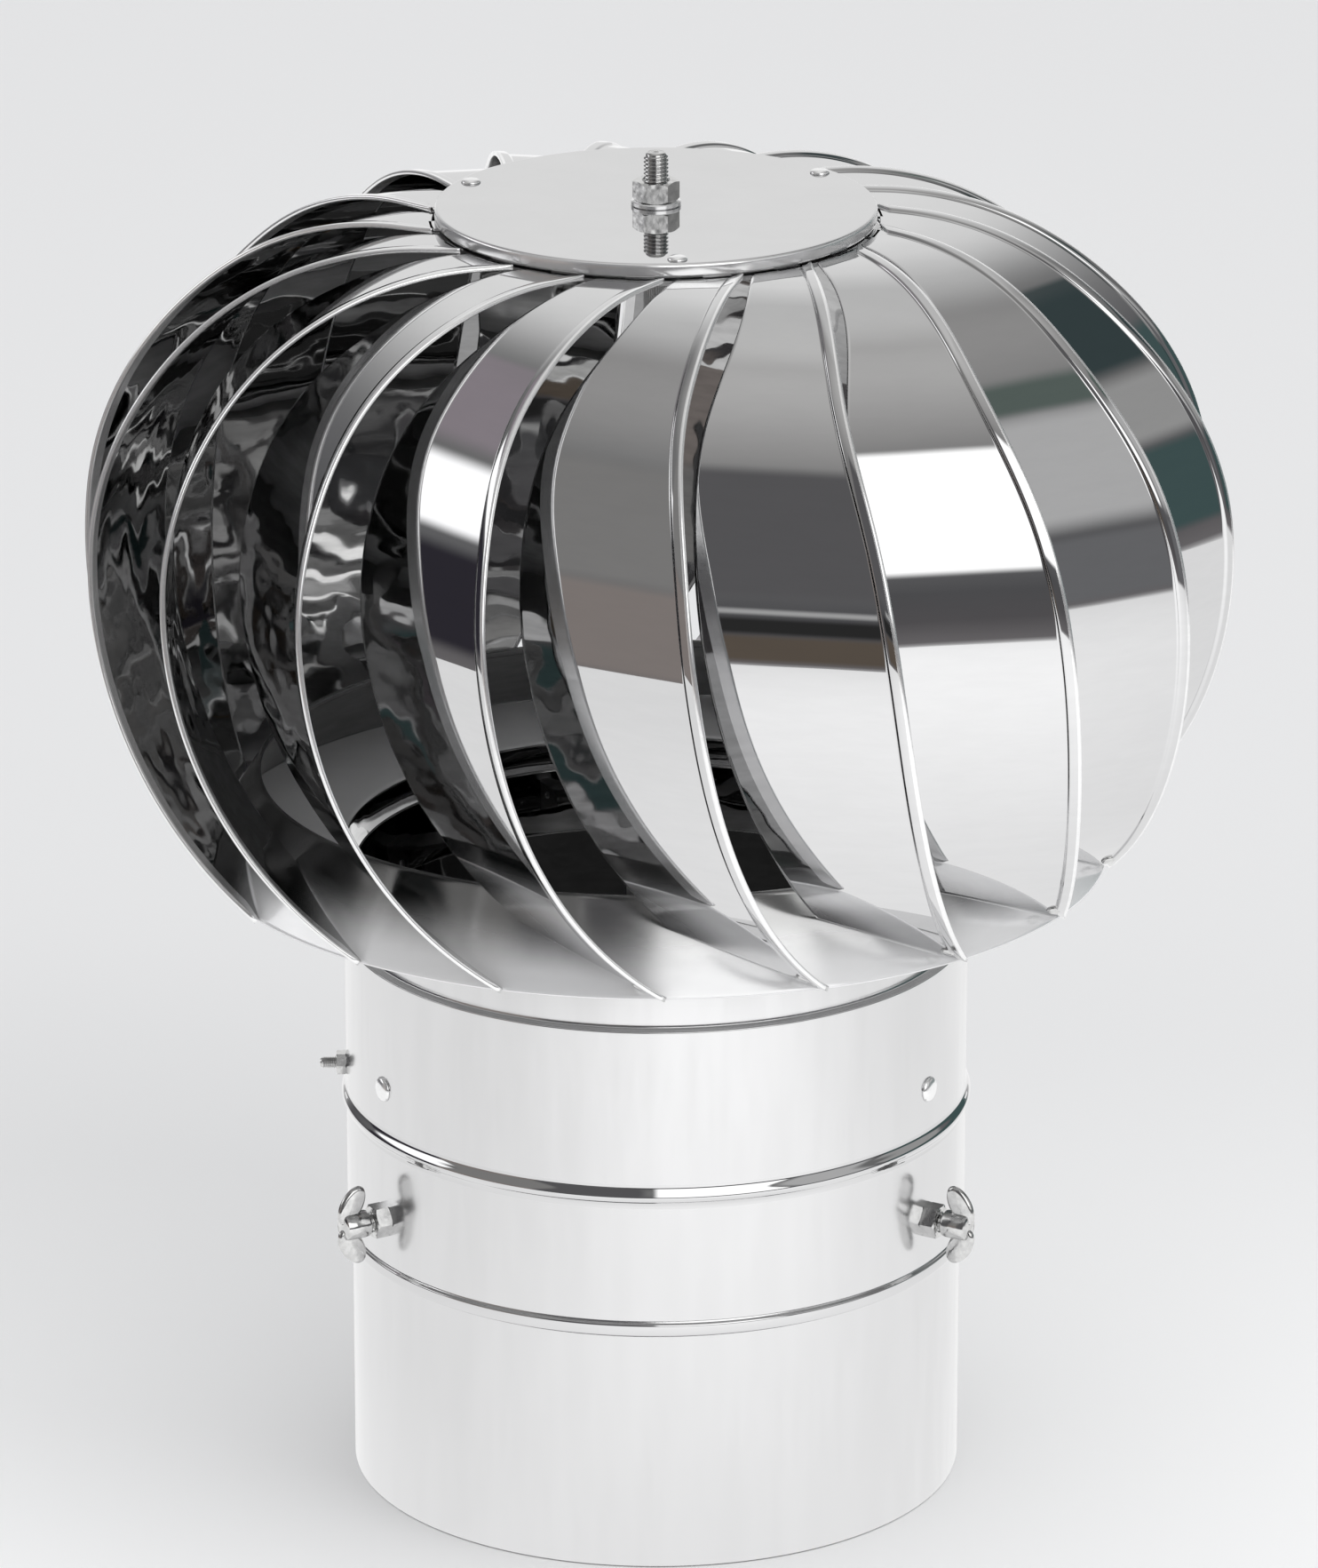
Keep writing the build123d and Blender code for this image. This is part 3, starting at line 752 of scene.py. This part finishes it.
# %% Floor ring with its turned-down lip
floor_z, floor_in, floor_out, lip_low = 214.4, 100.6, 144.2, 200.5
floor_sheet, floor_middle = 0.8, 122
floor_top = floor_z + floor_sheet
floor_profile = [(floor_out, floor_top), (floor_out - 1, floor_top), (floor_middle, floor_top)]
floor_profile += [(floor_in + 2.2, floor_top)]
floor_profile += arc(floor_in + 1.4, floor_z - 0.6, 1.4, 90, 180, 5)
floor_profile += [(floor_in, floor_z - 1.4), (floor_in, lip_low + 0.6), (floor_in + 0.4, lip_low)]
floor_profile += [(floor_in + 0.8, lip_low + 0.6), (floor_in + 0.8, floor_z - 1.4)]
floor_profile += [(floor_in + 1.1, floor_z - 0.4), (floor_in + 2, floor_z)]
floor_profile += [(floor_middle, floor_z), (floor_out - 1, floor_z), (floor_out, floor_z)]
# The floor's top, seen between the vanes, takes the darker inner metal as painted shade.
floor_ring = piece(
    "skirt_floor", *turned_ring(floor_profile[::-1]), "mirror_steel", "rotor", finish=shaded_inner_steel
)
underside = [face.index for face in floor_ring.data.polygons if face.normal.z < -0.5]
refinish(floor_ring, shade_banded_skirt_steel, underside)
print("skirt floor at", floor_z)

# %% [markdown]
# ## Top disc
# The cap is a spun disc whose edge is turned down over the vanes' tabs. It is turned from a profile
# with a rounded edge. Its lip has the paler metal of the hems, a painted highlight that shows the edge
# as a line.

# %% Top disc with its turned lip
disc_low, disc_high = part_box("top_disc")
disc_r = disc_high.x / mm
disc_z = disc_high.z / mm
disc_under = disc_z - 1
lip_z = disc_low.z / mm
disc_profile = [(4.1, disc_z), (4.3, disc_z), (4.6, disc_z), (30, disc_z)]
disc_profile += [(disc_r - 2.4, disc_z), (disc_r - 1.7, disc_z)]
disc_profile += arc(disc_r - 1.2, disc_z - 1.2, 1.2, 80, 0, 6)
disc_profile += [(disc_r, disc_z - 1.8), (disc_r, lip_z + 0.9), (disc_r - 0.1, lip_z + 0.3)]
disc_profile += [(disc_r - 0.5, lip_z), (disc_r - 0.9, lip_z + 0.3), (disc_r - 1, lip_z + 0.9)]
disc_profile += [(disc_r - 1, disc_z - 1.6), (disc_r - 1.3, disc_z - 1.05), (disc_r - 2, disc_under)]
disc_profile += [(30, disc_under), (4.6, disc_under), (4.3, disc_under), (4.1, disc_under)]
disc = piece("disc_skin", *turned_ring(disc_profile), "mirror_steel", "rotor", ("top_disc",))
# The disc's lip takes the pale metal as a painted highlight.
refinish(disc, pale_and_highlight_steel, [face.index for face in disc.data.polygons if abs(face.normal.z) < 0.8])
print("disc radius", round(disc_r, 2), "top", round(disc_z, 2))

# %% [markdown]
# ## Collar and pipe
# The collar is rolled sheet with a hem at its foot, a pressed bead, a shoulder and an upstand inside
# the rotor. The pipe stands in it and is necked behind the clamp screws. Each is one closed profile
# that runs up the outside and down the inside. The hem and bead are rubbed brighter than the wall, and
# the bores get a darker metal as painted shade, so those stretches of the profile get their own metals.

# %% Profile of the collar
collar_in, collar_out = 100.6, 101.6
neck_in, neck_out = 97.4, 98.4
bead_z, bead_half, bead_rise = 128.5, 3.25, 1.5


def bead(radius, count=14):
    """Profile of the pressed bead, from below to above."""
    made = []
    for step in range(count + 1):
        share = 2 * step / count - 1
        swell = 0.5 + 0.5 * math.cos(math.pi * share)
        made.append((radius + bead_rise * swell, bead_z + bead_half * share))
    return made


hem_fold = arc(collar_out + 0.2, 81.8, 0.8, -90, 0, 4) + arc(collar_out + 0.2, 84.4, 0.8, 0, 80, 4)
below_bead = [(collar_out, z) for z in (85.3, 86.2, 105, 124.4)]
above_bead = [(collar_out, z) for z in (132.6, 150, 183.2, 183.9)]
shoulder = arc(collar_out - 0.5, 184, 0.5, 10, 90, 4) + [(98.9, 184.5), (98.55, 184.65)]
neck_outside = [(neck_out, z) for z in (185, 186, 205.6)] + [(neck_out - 0.1, 206.2)]
neck_inside = [(97.9, 206.5), (neck_in + 0.1, 206.2), (neck_in, 205.6), (neck_in, 184.4)]
under_shoulder = [(neck_in + 0.1, 183.7), (97.9, 183.5), (100.2, 183.5), (100.5, 183.3)]
collar_bore = [(collar_in, z) for z in (183, 150, 132.6)] + bead(collar_in)[::-1]
collar_bore += [(collar_in, z) for z in (124.4, 105, 82)]
collar_foot = [(collar_in + 0.1, 81.3), (collar_in + 0.5, 81)]
collar_outside = hem_fold + below_bead + bead(collar_out) + above_bead + shoulder + neck_outside
collar_profile = collar_outside + neck_inside + under_shoulder + collar_bore + collar_foot
print("collar profile points:", len(collar_profile))

# %% Collar and pipe, with their bores
pipe_out, pipe_in = 100, 99.2
pipe_neck_out, pipe_neck_in = 98.8, 98
pipe_outside = [(pipe_out, z) for z in (0.6, 1.4, 40, 79.6, 80.5)]
pipe_outside += [(pipe_neck_out, z) for z in (81.7, 82.6, 127.4)] + [(98.4, 128)]
pipe_bore = [(pipe_neck_in, z) for z in (127.4, 82.6, 81.7)]
pipe_bore += [(pipe_in, z) for z in (80.5, 79.6, 40, 1.4, 0.6)]
pipe_profile = pipe_outside + pipe_bore + [(99.35, 0.1), (99.6, 0), (99.85, 0.1)]
collar = piece("collar_skin", *turned_ring(collar_profile), "satin_steel", "base", ("base_collar",))
pipe = piece("pipe_skin", *turned_ring(pipe_profile), "satin_steel", "base", ("spigot_pipe",))
foot_faces = 4
# The bores take the darker inner metal as painted shade.
for ring, profile, outside in ((collar, collar_profile, collar_outside), (pipe, pipe_profile, pipe_outside)):
    bore_end = len(profile) - foot_faces
    refinish(ring, shaded_inner_steel, profile_faces(ring, profile, len(outside), bore_end))

bead_start = len(hem_fold) + len(below_bead) - 1
bead_end = len(hem_fold) + len(below_bead) + len(bead(collar_out))
rubbed = profile_faces(collar, collar_profile, 0, len(hem_fold))
rubbed += profile_faces(collar, collar_profile, bead_start, bead_end)
refinish(collar, mirror_steel, rubbed)
print("pipe profile points:", len(pipe_profile))

# %% [markdown]
# ## Nut and stud on top
# The shaft ends above the disc in a threaded stud with a nut and a washer. A hexagon nut has a cone
# turned on both ends, which cuts its corners in six curves. A thread is a ridge that climbs one lead
# a turn. Both are simple formulas of the angle, so no boolean is needed.


# %% Nuts and threads
def hex_nut(size, height, bore, around=72):
    """Points and faces of a chamfered nut that stands on z = 0."""
    cone_slope = 0.58
    points, faces = [], []
    for step in range(around):
        turn = 2 * math.pi * step / around
        corner = size / 2 / math.cos(turn % (math.pi / 3) - math.pi / 6)
        drop = (corner - size / 2) * cone_slope + 0.05 * size / 13
        face = size / 2 * 0.96
        ring = [(bore, 0.5), (bore + 0.5, 0), (face, 0), (corner, drop)]
        ring += [(corner, height - drop), (face, height), (bore + 0.5, height), (bore, height - 0.5)]
        points += [Vector((r * math.cos(turn), r * math.sin(turn), z)) for r, z in ring]
    for step in range(around):
        here, there = step * 8, (step + 1) % around * 8
        faces += [(here + i, there + i, there + (i + 1) % 8, here + (i + 1) % 8) for i in range(8)]
    return points, faces


def thread(crest, lead, length, around=28):
    """Points and faces of a screw thread from z = 0 to its length, faded out at both ends."""
    root = crest - 0.6 * lead
    steps = int(length / lead * around)
    points, faces = [], []
    for step in range(steps + 1):
        turn = 2 * math.pi * step / around
        middle = lead * step / around
        fade = min(1.0, step / around * 1.5, (steps - step) / around * 1.5)
        top = root + (crest - root) * fade
        for radius, shift in ((root, -0.5), (top, -0.09), (top, 0.09), (root, 0.5)):
            z = min(max(middle + shift * lead, 0), length)
            points.append(Vector((radius * math.cos(turn), radius * math.sin(turn), z)))
    for step in range(steps):
        here, there = step * 4, step * 4 + 4
        faces += [(here + i, there + i, there + i + 1, here + i + 1) for i in range(3)]
    return points, faces


def gather(parts):
    """Joins (points, faces, matrix) parts into one set of points and faces, in metres."""
    all_points, all_faces = [], []
    for points, faces, matrix in parts:
        base = len(all_points)
        all_points += [(matrix @ Vector(p)) * mm for p in points]
        all_faces += [tuple(base + corner for corner in face) for face in faces]
    return all_points, all_faces


def lift(z):
    return Matrix.Translation((0, 0, z))


print("nut and thread helpers ready")

# %% Stud, nuts and washer
axis = 0.01
nut_edge = 24
stud_r, stud_root, stud_lead = 4.0, 3.3, 1.25
shaft_low, shaft_high = (corner.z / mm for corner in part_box("shaft"))
thread_start = disc_z - 12
core = [(axis, shaft_low), (3.2, shaft_low), (stud_r, shaft_low + 0.8), (stud_r, shaft_low + 1.6)]
core += [(stud_r, thread_start - 0.6), (3.95, thread_start), (stud_root, thread_start + 0.7)]
core += [(stud_root, shaft_high - 0.6), (2.7, shaft_high), (axis, shaft_high)]
stud_thread = thread(stud_r, stud_lead, shaft_high - thread_start - 0.9)
parts = [(*lathe(core, 48), Matrix.Identity(4)), (*stud_thread, lift(thread_start + 0.4))]
piece("shaft_skin", *gather(parts), "fastener_steel", "rotor", ("shaft",))
for node in ("top_nut", "under_nut", "lock_nut"):
    nut_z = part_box(node)[0].z / mm
    parts = [(*hex_nut(13.0, 6.5, 4.02), lift(nut_z))]
    piece(f"{node}_skin", *gather(parts), "fastener_steel", "rotor", (node,), sharp=nut_edge)

washer_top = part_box("top_washer")[1].z / mm
washer_in, washer_out, washer_low = 4.05, 8, washer_top - 1.6
washer = [(washer_in, washer_low), (7.6, washer_low), (washer_out, washer_top - 1.3)]
washer += [(washer_out, washer_top - 0.3), (7.7, washer_top), (washer_in, washer_top)]
parts = [(*lathe(washer, 64), Matrix.Identity(4))]
# The washer takes the pale metal as painted light, so its sides don't mirror a dark band.
piece(
    "top_washer_skin",
    *gather(parts),
    "fastener_steel",
    "rotor",
    ("top_washer",),
    finish=pale_and_highlight_steel,
    sharp=30,
)
print("stud top", round(shaft_high, 2))

# %% [markdown]
# ## Rivets
# Rivets hold the cap to the ring under the vanes' tabs, the three bearing arms to the collar and the
# feet of the vanes to the skirt. A hammered head is flatter than a ball, so each dome is a quarter
# turn of an ellipse with a fuller shoulder. Frames place the same dome everywhere.


# %% Domed heads, and frames that point outwards
def dome(radius, rise, rings=7, around=32):
    """Points and faces of a rivet's domed head on z = 0."""
    points, faces = [], []
    for ring in range(rings):
        swing = math.pi / 2 * ring / rings
        r = radius * math.cos(swing) ** 0.7
        for step in range(around):
            turn = 2 * math.pi * step / around
            points.append(Vector((r * math.cos(turn), r * math.sin(turn), rise * math.sin(swing))))
    points.append(Vector((0, 0, rise)))
    for ring in range(rings - 1):
        for step in range(around):
            after = (step + 1) % around
            low, high = ring * around, (ring + 1) * around
            faces.append((low + step, low + after, high + after, high + step))
    last = (rings - 1) * around
    faces += [(last + step, last + (step + 1) % around, len(points) - 1) for step in range(around)]
    faces.append(tuple(range(around - 1, -1, -1)))
    return points, faces


def radial(bearing_angle, radius, z):
    """Frame at a bearing whose z axis points outwards and whose y axis points up."""
    turn = Matrix.Rotation(math.radians(bearing_angle), 4, "Z")
    face_out = Matrix.Rotation(math.pi / 2, 4, "X")
    return turn @ Matrix.Translation((0, -radius, z)) @ face_out


upside_down = Matrix.Rotation(math.pi, 4, "X")
print("rivet helpers ready")

# %% Rivets of the cap and of the bearing arms
cap_phase = vane_phase + tab_bearing - vane_step / 2
cap_rivet_r, shank_r = 65, 1.6
clamp_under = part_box("clamp_ring")[0].z / mm
shank_low, shank_high = clamp_under - 0.2, disc_z + 0.2
shank = [(axis, shank_low), (shank_r, shank_low), (shank_r, shank_high), (axis, shank_high)]
parts = []
for index in range(3):
    turn = Matrix.Rotation(math.radians(cap_phase + 120 * index), 4, "Z")
    rivet_spot = turn @ Matrix.Translation((0, -cap_rivet_r, 0))
    parts.append((*dome(3.2, 1.3), rivet_spot @ lift(disc_z)))
    parts.append((*lathe(shank, 24), rivet_spot))
    parts.append((*dome(3.2, 1.3), rivet_spot @ lift(clamp_under) @ upside_down))
piece("cap_rivet_skin", *gather(parts), "fastener_steel", "rotor", ("cap_rivets",), finish=pale_and_highlight_steel)

arm_bearings = (60, 180, 300)
arm_rivet_z, arm_head_r, arm_tail_r = 146, 101.55, 98.1
parts = []
for bearing_angle in arm_bearings:
    parts.append((*dome(4.2, 1.7), radial(bearing_angle, arm_head_r, arm_rivet_z)))
    parts.append((*dome(4.2, 1.7), radial(bearing_angle, arm_tail_r, arm_rivet_z) @ upside_down))
piece("carrier_rivet_skin", *gather(parts), "fastener_steel", "base", ("carrier_rivets",), finish=pale_and_highlight_steel)
print("cap rivets from", round(cap_phase, 1), "degrees")

# %% Rivets at the vanes' feet
rivet_reach, rivet_inset = 99.8, 4.6
foot_turn = -math.acos(1 - (roll_reach - rivet_reach) / lower_bend)
foot_reach, foot_z, foot_side, foot_rise = roll_station(foot_turn)
foot_outer = strip_edges(foot_reach, foot_z)[1]
foot_facing = outward * foot_side + up * foot_rise
foot_spot = outward * foot_reach + along * (foot_outer - rivet_inset) + up * foot_z + foot_facing * sheet
foot_frame = Matrix.Translation(foot_spot) @ foot_facing.to_track_quat("Z", "X").to_matrix().to_4x4()
parts = []
for index in range(vane_count):
    turn = Matrix.Rotation(math.radians(vane_phase + vane_step * index), 4, "Z")
    parts.append((*dome(2.5, 1.2), turn @ foot_frame))
piece("foot_rivets", *gather(parts), "fastener_steel", "rotor")
print("foot rivets at height", round(foot_z, 1))

# %% [markdown]
# ## Wing screws and the seam screw
# Three screws with wings clamp the collar on the pipe, each through a nut welded to the collar. The
# ears are flat ellipses with a rounded rim, set at a lean like a pressed or cast wing. The radial
# frame, with its own z pointing outwards, places every one of them from the same points.


# %% Ear of a wing screw
def ear(half_long, half_wide, half_thick, around=48, rim=8):
    """Points and faces of a flat ellipse with a rounded rim."""
    points, faces = [], []
    for ring in range(rim + 1):
        swing = math.pi * (ring / rim - 0.5)
        inset = half_thick * (1 - math.cos(swing))
        for step in range(around):
            turn = 2 * math.pi * step / around
            edge = ((half_long - inset) * math.cos(turn), (half_wide - inset) * math.sin(turn))
            points.append(Vector((*edge, half_thick * math.sin(swing))))
    for ring in range(rim):
        for step in range(around):
            after = (step + 1) % around
            low, high = ring * around, (ring + 1) * around
            faces.append((low + step, low + after, high + after, high + step))
    faces.append(tuple(range(around - 1, -1, -1)))
    faces.append(tuple(rim * around + step for step in range(around)))
    return points, faces


wing = ear(7.0, 4.0, 1.3)
print("points on an ear:", len(wing[0]))

# %% Wing screws and their weld nuts
clamp_z, wing_base, screw_tip = 101.0, 108.1, 99.1
screw_length = wing_base - screw_tip
screw_r, screw_root, screw_lead = 3.0, 2.45, 1.0
wing_out, wing_up, wing_lean = 7.0, 5.6, 32
screw_edge = 40
hub = [(axis, 0), (3.9, 0), (4.4, 0.4), (4.5, 0.9), (4.5, 7.6), (4.2, 8.5), (3.3, 9), (axis, 9)]
screw_core = [(axis, 0), (1.9, 0), (screw_root, 0.6), (screw_root, screw_length), (axis, screw_length)]
screw_thread = thread(screw_r, screw_lead, screw_length - 0.4)
face_side = Matrix.Rotation(math.pi / 2, 4, "Y") @ Matrix.Rotation(math.pi / 2, 4, "Z")
for index, bearing_angle in enumerate(arm_bearings, 1):
    tip = radial(bearing_angle, screw_tip, clamp_z)
    base = radial(bearing_angle, wing_base, clamp_z)
    parts = [(*lathe(screw_core, 32), tip), (*screw_thread, tip @ lift(0.3)), (*lathe(hub, 40), base)]
    for way in (1, -1):
        stand = Matrix.Translation((0, way * wing_out, wing_up))
        lean = Matrix.Rotation(-way * math.radians(wing_lean), 4, "X")
        parts.append((*wing, base @ stand @ lean @ face_side))
    node = f"wing_screw_{index}"
    piece(f"{node}_skin", *gather(parts), "fastener_steel", node, (node,), sharp=screw_edge)

weld_seat = 101.3
parts = [(*hex_nut(10.0, 5.3, 3.03), radial(angle, weld_seat, clamp_z)) for angle in arm_bearings]
piece("clamp_nut_skin", *gather(parts), "fastener_steel", "base", ("clamp_nuts",), sharp=nut_edge)
print("wing screws:", len(arm_bearings))

# %% Seam screw and its nut
seam_bearing, seam_z, seam_seat, seam_tail = -88, 137.5, 101.5, 8.6
seat = radial(seam_bearing, seam_seat, seam_z)
parts = [(*hex_nut(7.0, 3.3, 2.02), seat)]
piece("seam_nut_skin", *gather(parts), "fastener_steel", "base", ("seam_nut",), sharp=nut_edge)
tail_core = [(axis, 0), (1.6, 0), (1.6, seam_tail - 0.4), (1.2, seam_tail), (axis, seam_tail)]
head = [(axis, -2.9), (2.6, -2.9), (3.3, -2.4), (3.5, -1.4), (3.5, -1.0), (axis, -1.0)]
neck = [(axis, -1.1), (1.95, -1.1), (1.95, 0.4), (axis, 0.4)]
parts = [(*lathe(tail_core, 32), seat), (*thread(2.0, 0.7, seam_tail - 0.5), seat)]
parts += [(*lathe(head, 32), seat), (*lathe(neck, 24), seat)]
piece("seam_screw_skin", *gather(parts), "fastener_steel", "base", ("seam_screw",), sharp=screw_edge)
print("seam screw at", seam_bearing, "degrees")

# %% [markdown]
# ## The finished size
# The last line prints the size of the box around every piece that renders.

# %% Size of everything that renders
low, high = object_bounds()
print("visual box", [round(v, 4) for v in high - low])
